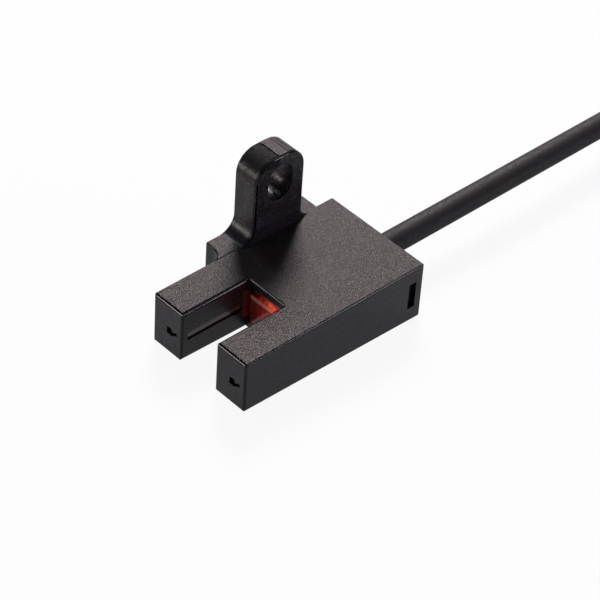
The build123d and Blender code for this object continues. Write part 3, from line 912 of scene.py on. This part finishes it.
@dataclass(frozen=True)
class Cable:
    """The fixed cable: the stretch seen, the put-away hank and the tail.

    The route's points repeat the solids' route, in mm of the row frame.

    Attributes:
        diameter: Diameter of the sheath.
        length: Real length from the housing to the end of the sheath; not used here.
        pitch: Distance between neighbouring turns.
        inner_fold: Radius of the inner turns' middle at the folds.
        start: Middle of the hank's near folds on the ground.
        run: Length of the hank's straight runs.
        lift: Height of the lowest turns' middle.
        slots: Place of each turn, as steps inwards and upwards.
        shift_start: Where the last turn starts to move over, along its run.
        shift_lag: How much later each turn before it starts to move over.
        shift_length: Length in which a turn moves over.
        seen: Points from the housing to the hank.
        tail_steps: Points of the tail, from the end of the last turn.
        exit_at: Where the cable leaves the housing: from the tips, across, and up.
        fold_points: Points in each fold, which is half a circle.
        step: Distance between the points of a run on which a turn moves over.
        first_run: Places of the points on the first run.
        later_runs: Places of the points on each later run away from the sensor.
    """

    diameter: float = 2.6
    length: float = 955.0
    pitch: float = 2.65
    inner_fold: float = 7.8
    start: tuple[float, float] = (78.0, -2.35)
    run: float = 48.0
    lift: float = 1.6
    slots: tuple[tuple[int, int], ...] = ((0, 0), (1, 0), (1, 1), (0, 1), (0, 2), (1, 2))
    shift_start: float = 2.0
    shift_lag: float = 5.0
    shift_length: float = 20.0
    seen: tuple[Point, ...] = (
        (29.54, 0.0, 4.495),
        (52.0, 1.08, 3.9),
        (63.5, 2.77, 2.2),
        (73.8, 7.25, 1.65),
        (83.3, 8.1, 1.6),
    )
    tail_steps: tuple[Point, ...] = (
        (-7.5, 1.05, 0.0),
        (-14.5, 4.25, -1.6),
        (-21.5, 6.85, -4.1),
        (-29.0, 7.85, -5.5),
    )
    exit_at: Point = (23.5, 0.0, 3.23)
    fold_points: int = 6
    step: int = 4
    first_run: tuple[float, ...] = (16.0, 32.0)
    later_runs: tuple[float, ...] = (12.0, 24.0, 36.0)

    def fold(self, slot: tuple[int, int], near: bool) -> list[Vector]:
        """Bends a turn round one end of the hank.

        Args:
            slot: Steps inwards and upwards of the turn.
            near: Whether the fold is the one nearer to the sensor.

        Returns:
            The points of the fold, in mm.
        """
        step = math.radians(180 / self.fold_points)
        radius = (self.inner_fold + (1 - slot[0]) * self.pitch) / math.cos(step / 2)
        first = 1.5 * math.pi if near else 0.5 * math.pi
        middle = self.start[0] + (0.0 if near else self.run)
        height = self.lift + slot[1] * self.pitch
        points = []
        for index in range(self.fold_points):
            angle = first - (index + 0.5) * step
            side = self.start[1] + radius * math.sin(angle)
            points.append(Vector((middle + radius * math.cos(angle), side, height)))
        return points

    def outgoing(self, slot: tuple[int, int], places: tuple[float, ...]) -> list[Vector]:
        """Lays a turn along its run away from the sensor.

        Args:
            slot: Steps inwards and upwards of the turn.
            places: How far along the run the points are, in mm.

        Returns:
            The points of the run, in mm.
        """
        side = self.start[1] + self.inner_fold + (1 - slot[0]) * self.pitch
        height = self.lift + slot[1] * self.pitch
        return [Vector((self.start[0] + place, side, height)) for place in places]

    def returning(self, turn: int) -> list[Vector]:
        """Lays a turn along its run back, where it moves over to the next place.

        Args:
            turn: Which turn it is, from 0 to the last but one.

        Returns:
            The points of the run, in mm.
        """
        begin = self.shift_start + (len(self.slots) - 2 - turn) * self.shift_lag
        here, after = self.slots[turn], self.slots[turn + 1]
        points = []
        for place in range(self.step, round(self.run), self.step):
            share = min(1.0, max(0.0, (place - begin) / self.shift_length))
            share = share * share * (3 - 2 * share)
            inward = here[0] * (1 - share) + after[0] * share
            upward = here[1] * (1 - share) + after[1] * share
            side = self.start[1] - self.inner_fold - (1 - inward) * self.pitch
            height = self.lift + upward * self.pitch
            points.append(Vector((self.start[0] + self.run - place, side, height)))
        return points

    def hank_points(self) -> list[Vector]:
        """Winds the hank, turn by turn.

        Returns:
            The points of all turns, in mm.
        """
        points = self.outgoing(self.slots[0], self.first_run)
        for turn, slot in enumerate(self.slots[:-1]):
            points.extend(self.fold(slot, near=False))
            points.extend(self.returning(turn))
            points.extend(self.fold(self.slots[turn + 1], near=True))
            points.extend(self.outgoing(self.slots[turn + 1], self.later_runs))
        points.extend(self.fold(self.slots[-1], near=False))
        return points

    def route(self, seat: Seat) -> list[Vector]:
        """Puts the whole route together.

        Args:
            seat: How the sensor stands.

        Returns:
            The control points of the cable, in mm.
        """
        start = seat.place(*self.exit_at) / MM
        route = [start, *(Vector(point) for point in self.seen), *self.hank_points()]
        inner, layer = self.slots[-1]
        side = self.start[1] - self.inner_fold - (1 - inner) * self.pitch
        leave = Vector((self.start[0] + self.run, side, self.lift + layer * self.pitch))
        route.extend(leave + Vector(step) for step in self.tail_steps)
        return route

    def build(self, seat: Seat, material: bpy.types.Material) -> bpy.types.Object:
        """Builds the cable as one smooth curve in the place of its solids.

        Args:
            seat: How the sensor stands.
            material: Finish of the sheath.

        Returns:
            The cable's curve object.
        """
        curve = bpy.data.curves.new("cable_curve", "CURVE")
        curve.dimensions = "3D"
        curve.bevel_depth = self.diameter / 2 * MM
        curve.bevel_resolution = 7
        curve.use_fill_caps = True
        curve.resolution_u = 6
        points = self.route(seat)
        spline = curve.splines.new("NURBS")
        spline.points.add(len(points) - 1)
        for control, point in zip(spline.points, points):
            control.co = (*(point * MM), 1.0)
        spline.order_u = 3
        spline.use_endpoint_u = True
        curve.materials.append(material)
        cable = bpy.data.objects.new("sheathed_cable", curve)
        bpy.context.scene.collection.objects.link(cable)
        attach(cable, "root")
        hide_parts("cable", "cable_hank", "cable_tail")
        exit_point = seat.place(*self.exit_at)
        return cable


@dataclass(frozen=True)
class Lamp:
    """One soft square light.

    Attributes:
        name: Name of the light.
        place: Where it stands, in metres.
        aim: What it points at, in metres.
        size: Side of the square, in metres.
        level: Light that it gives on a surface facing it, 1 for a plain level.
        tint: Colour of the light.
    """

    name: str
    place: Point
    aim: Point
    size: float
    level: float
    tint: Colour = (1.0, 1.0, 1.0)

    def build(self) -> bpy.types.Object:
        """Creates the light.

        Returns:
            The light object.
        """
        data = bpy.data.lights.new(self.name, "AREA")
        data.size = self.size
        data.color = self.tint
        away = Vector(self.place) - Vector(self.aim)
        data.energy = self.level * math.pi**2 * away.length_squared
        lamp = bpy.data.objects.new(self.name, data)
        lamp.visible_camera = False
        lamp.location = self.place
        lamp.rotation_mode = "QUATERNION"
        lamp.rotation_quaternion = away.to_track_quat("Z", "Y")
        bpy.context.scene.collection.objects.link(lamp)
        return lamp


@dataclass(frozen=True)
class Studio:
    """The pale floor, the soft lights and the even surround.

    Attributes:
        floor_half: Half the floor's side, in metres.
        floor_colour: Colour of the floor as it lights the object.
        seen_colour: Colour of the floor in the picture.
        floor_white: Share of plain white that the camera sees in the floor.
        surround: Strength of the even light from all around.
        floor_mirrored: Share of the white floor that mirrored and clear surfaces show.
        far_mirrored: The same share far from the object.
        mirrored_reach: Where that share begins to fall and where it has, in metres.
        wall_mirrored: Share of the white backdrop that mirrored and clear surfaces show.
        wall_rise: Upward part of the view where the backdrop fades, and where it ends.
        lamps: The soft lights.
    """

    floor_half: float = 1.5
    floor_colour: Colour = (0.28, 0.28, 0.28)
    seen_colour: Colour = (0.98, 0.98, 0.98)
    floor_white: float = 0.92
    surround: float = 0.05
    floor_mirrored: float = 0.54
    far_mirrored: float = 0.18
    mirrored_reach: tuple[float, float] = (0.05, 0.16)
    wall_mirrored: float = 0.1
    wall_rise: tuple[float, float] = (0.15, 0.4)
    lamps: tuple[Lamp, ...] = (
        Lamp("key_light", (0.31, 0.32, 0.4), BODY, 0.2, 1.1, (1.0, 0.88, 0.89)),
        Lamp("rim_light", (-0.45, 0.3, 0.12), BODY, 0.07, 0.09, (0.95, 0.96, 1.0)),
        Lamp("low_light", (-0.46, 0.29, 0.05), EAR_HEIGHT, 0.12, 0.2, (1.0, 0.84, 0.73)),
        Lamp("side_light", (0.3, -0.45, 0.085), BODY, 0.07, 0.18, (0.94, 0.89, 1.0)),
        Lamp("side_card", (0.33, -0.3, 0.39), BODY, 0.22, 0.05, (0.94, 0.89, 1.0)),
        Lamp("ridge_light", (0.05, 0.32, 0.505), BODY, 0.06, 0.06),
        Lamp("top_light", (0.0, 0.0, 0.7), (0.0, 0.0, 0.0), 0.4, 0.02),
    )

    def build_floor(self) -> bpy.types.Object:
        """Builds the pale floor, which keeps the object's shadow.

        Returns:
            The floor object.
        """
        canvas = NodeCanvas("pale_floor")
        canvas.set(Socket.ROUGH, 0.9)
        canvas.set(Socket.SPECULAR, 0.1)
        cloud = canvas.noise(40.0, 2.0)
        dim = canvas.shades(cloud, self.floor_colour, 0.985, 1.0)
        pale = canvas.shades(cloud, self.seen_colour, 0.985, 1.0)
        path = canvas.add("ShaderNodeLightPath")
        canvas.feed(Socket.COLOUR, canvas.mix(path.outputs["Is Camera Ray"], dim, pale))
        reach = canvas.length(canvas.place.outputs["Object"])
        near_far = (self.floor_mirrored, self.far_mirrored)
        mirrored = canvas.spread(reach, *near_far, *self.mirrored_reach)
        share = canvas.math("MULTIPLY", self.seen_rays(canvas, mirrored), self.floor_white)
        white = canvas.add("ShaderNodeEmission")
        mix = canvas.add("ShaderNodeMixShader")
        canvas.link(share, mix.inputs["Fac"])
        canvas.link(canvas.shader.outputs["BSDF"], mix.inputs[1])
        canvas.link(white.outputs["Emission"], mix.inputs[2])
        canvas.link(mix.outputs["Shader"], canvas.output.inputs["Surface"])
        half = self.floor_half
        mesh = bpy.data.meshes.new("floor")
        corners = [(-half, -half, 0), (half, -half, 0), (half, half, 0), (-half, half, 0)]
        mesh.from_pydata(corners, [], [(0, 1, 2, 3)])
        mesh.materials.append(canvas.material)
        floor = bpy.data.objects.new("floor", mesh)
        bpy.context.scene.collection.objects.link(floor)
        return floor

    def seen_rays(self, graph: NodeGraph, mirrored: float | Output) -> Output:
        """Gives 1 for rays that see the background, and a share for mirrored and bent ones.

        Args:
            graph: The node tree to add to.
            mirrored: Share for rays that reach it by a mirror or through glass.

        Returns:
            The mask's output socket.
        """
        path = graph.add("ShaderNodeLightPath")
        total = path.outputs["Is Camera Ray"]
        for name in ("Is Glossy Ray", "Is Transmission Ray"):
            part = graph.math("MULTIPLY", path.outputs[name], mirrored)
            total = graph.math("MAXIMUM", total, part)
        return total

    def build_surround(self) -> None:
        """Sets the even surround: a white backdrop round a dim ceiling."""
        world = bpy.data.worlds.new("surround")
        world.use_nodes = True
        graph = NodeGraph(world.node_tree)
        place = graph.add("ShaderNodeTexCoord")
        upward = graph.split(place.outputs["Generated"])["Z"]
        band = graph.spread(upward, 1.0, 0.0, *self.wall_rise)
        share = graph.math("MULTIPLY", self.seen_rays(graph, self.wall_mirrored), band)
        level = graph.spread(share, self.surround, 1.0, 0.0, 1.0)
        back = graph.add("ShaderNodeBackground")
        back.inputs["Color"].default_value = (1, 1, 1, 1)
        graph.link(level, back.inputs["Strength"])
        output = graph.add("ShaderNodeOutputWorld")
        graph.link(back.outputs["Background"], output.inputs["Surface"])
        bpy.context.scene.world = world

    def build(self) -> None:
        """Builds the whole studio and sets the plain view transform."""
        self.build_floor()
        self.build_surround()
        for lamp in self.lamps:
            lamp.build()
        bpy.context.scene.view_settings.view_transform = "Standard"


@dataclass
class Finishes:
    """All finishes of the sensor, made once and shared."""

    made: dict[str, bpy.types.Material] = field(default_factory=dict)

    def make(self) -> None:
        """Builds every finish."""
        recipes = [
            MouldedPlastic("case_black"),
            MouldedPlastic("cap_black"),
            SignalCover("cover_red"),
            ClearPlastic("emitter_clear", (0.5, 0.6, 0.75), 0.8, 0.08),
            ClearPlastic("receiver_dark", (0.03, 0.012, 0.03), 0.2, 0.08),
            ClearPlastic("lamp_orange", (0.85, 0.28, 0.03), 0.7, 0.15),
            Sheath("sheath_black", (0.0065, 0.0057, 0.0068), 0.67, specular=0.46),
            Sheath("seal_rubber", (0.02, 0.02, 0.02), 0.7),
            Sheath("core_brown", (0.13, 0.045, 0.015), 0.35),
            Sheath("core_black", (0.015, 0.015, 0.015), 0.35),
            Sheath("core_white", (0.72, 0.72, 0.69), 0.35),
            Sheath("core_blue", (0.015, 0.06, 0.36), 0.35),
            Sheath("tie_black", (0.018, 0.018, 0.018), 0.5),
            Metal("collar_metal", (0.62, 0.62, 0.6), 0.28),
            Metal("legs_tinned", (0.7, 0.7, 0.68), 0.3),
            Metal("solder", (0.66, 0.66, 0.66), 0.25, 0.2),
            Metal("copper", (0.78, 0.38, 0.2), 0.28),
            BoardLacquer("board_green"),
            self.small_part("chip_black", (0.022, 0.022, 0.024), 0.6),
            self.small_part("diode_black", (0.03, 0.03, 0.03), 0.5),
            self.small_part("resistor_dark", (0.02, 0.02, 0.022), 0.3),
            self.small_part("capacitor_tan", (0.42, 0.29, 0.16), 0.35),
        ]
        for recipe in recipes:
            self.made[recipe.name] = recipe.make()

    def small_part(self, name: str, colour: Colour, rough: float) -> MouldedPlastic:
        """Gives the finish of a small part on the board.

        Args:
            name: Name of the material.
            colour: Mean colour of every side.
            rough: Roughness of every side.

        Returns:
            The finish.
        """
        return MouldedPlastic(
            name,
            colour,
            top_colour=colour,
            top_rough=rough,
            side_rough=rough,
            grain_mm=0.08,
            grain_depth_mm=0.005,
            contrast=0.2,
            edge_colour=colour,
            edge_rough=rough,
        )


class Sensor:
    """The sensor's solids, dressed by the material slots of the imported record."""

    def __init__(self, frame: dict[str, Any], finishes: Finishes) -> None:
        """Keeps what the dressing needs.

        Args:
            frame: What the frame's loader returned.
            finishes: The finishes by name.
        """
        self.nodes = frame["nodes"]
        self.record = frame["record"]
        self.finishes = finishes

    def build(self) -> None:
        """Dresses every solid with the finish of its slot."""
        for part in self.record["subparts"]:
            solid = self.nodes[part["node"]]
            material = self.finishes.made[part["material_slot"]]
            if not solid.material_slots:
                solid.data.materials.append(material)
            for slot in solid.material_slots:
                slot.material = material


def main() -> None:
    """Builds the scene in order: frame, camera, cable, finishes, studio."""
    logging.basicConfig(level=logging.INFO, format="%(name)s: %(message)s")
    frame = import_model()
    seat = Seat()
    CameraRig().build(seat)
    finishes = Finishes()
    finishes.make()
    Cable().build(seat, finishes.made["sheath_black"])
    Sensor(frame, finishes).build()
    Studio().build()
    LOG.info("dressed %d solids", len(frame["nodes"]))
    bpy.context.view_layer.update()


if __name__ == "__main__":
    main()
